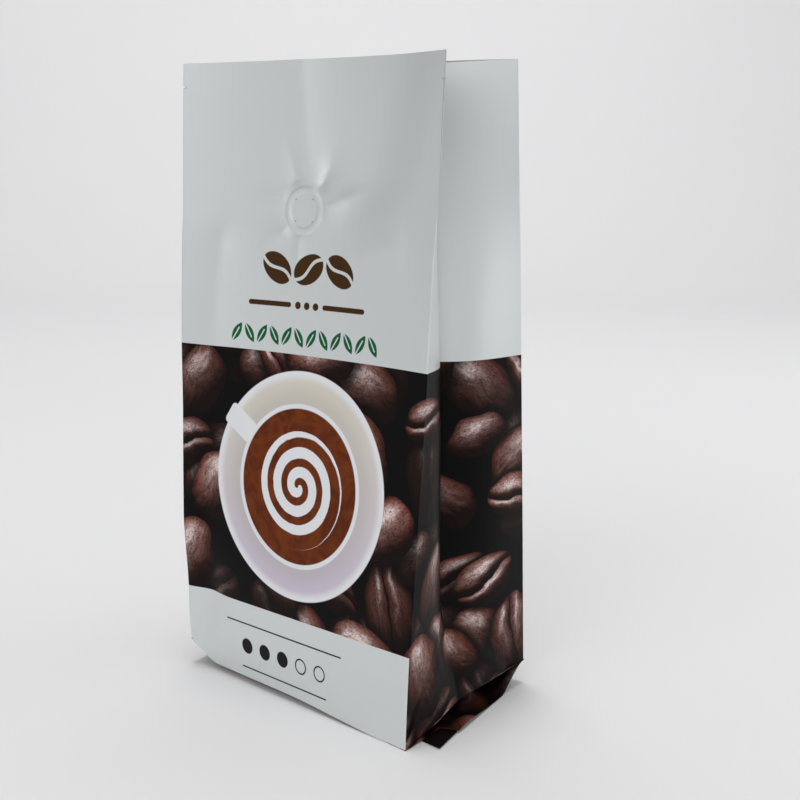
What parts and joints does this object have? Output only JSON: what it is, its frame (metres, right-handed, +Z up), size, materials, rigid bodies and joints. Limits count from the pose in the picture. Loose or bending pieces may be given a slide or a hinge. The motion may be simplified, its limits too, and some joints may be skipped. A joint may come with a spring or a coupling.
{
  "type": "side gusset coffee bag",
  "caption": "Tall film bag with folded side gussets, an open mouth, a flat folded base and a one-way degassing valve behind the front panel; empty and standing.",
  "frame": {"origin": "on the ground under the middle of the base", "axes": "+Z up to the mouth, the front panel with the valve faces -Y, +X to the right of the front panel"},
  "size_m": [0.15, 0.0958, 0.276],
  "materials": {
    "film": "satin printed laminate film, pearl white above a dark coffee bean print",
    "valve": "moulded white plastic"
  },
  "bodies": {
    "root": {"bag": "film", "valve": "valve"}
  },
  "joints": []
}
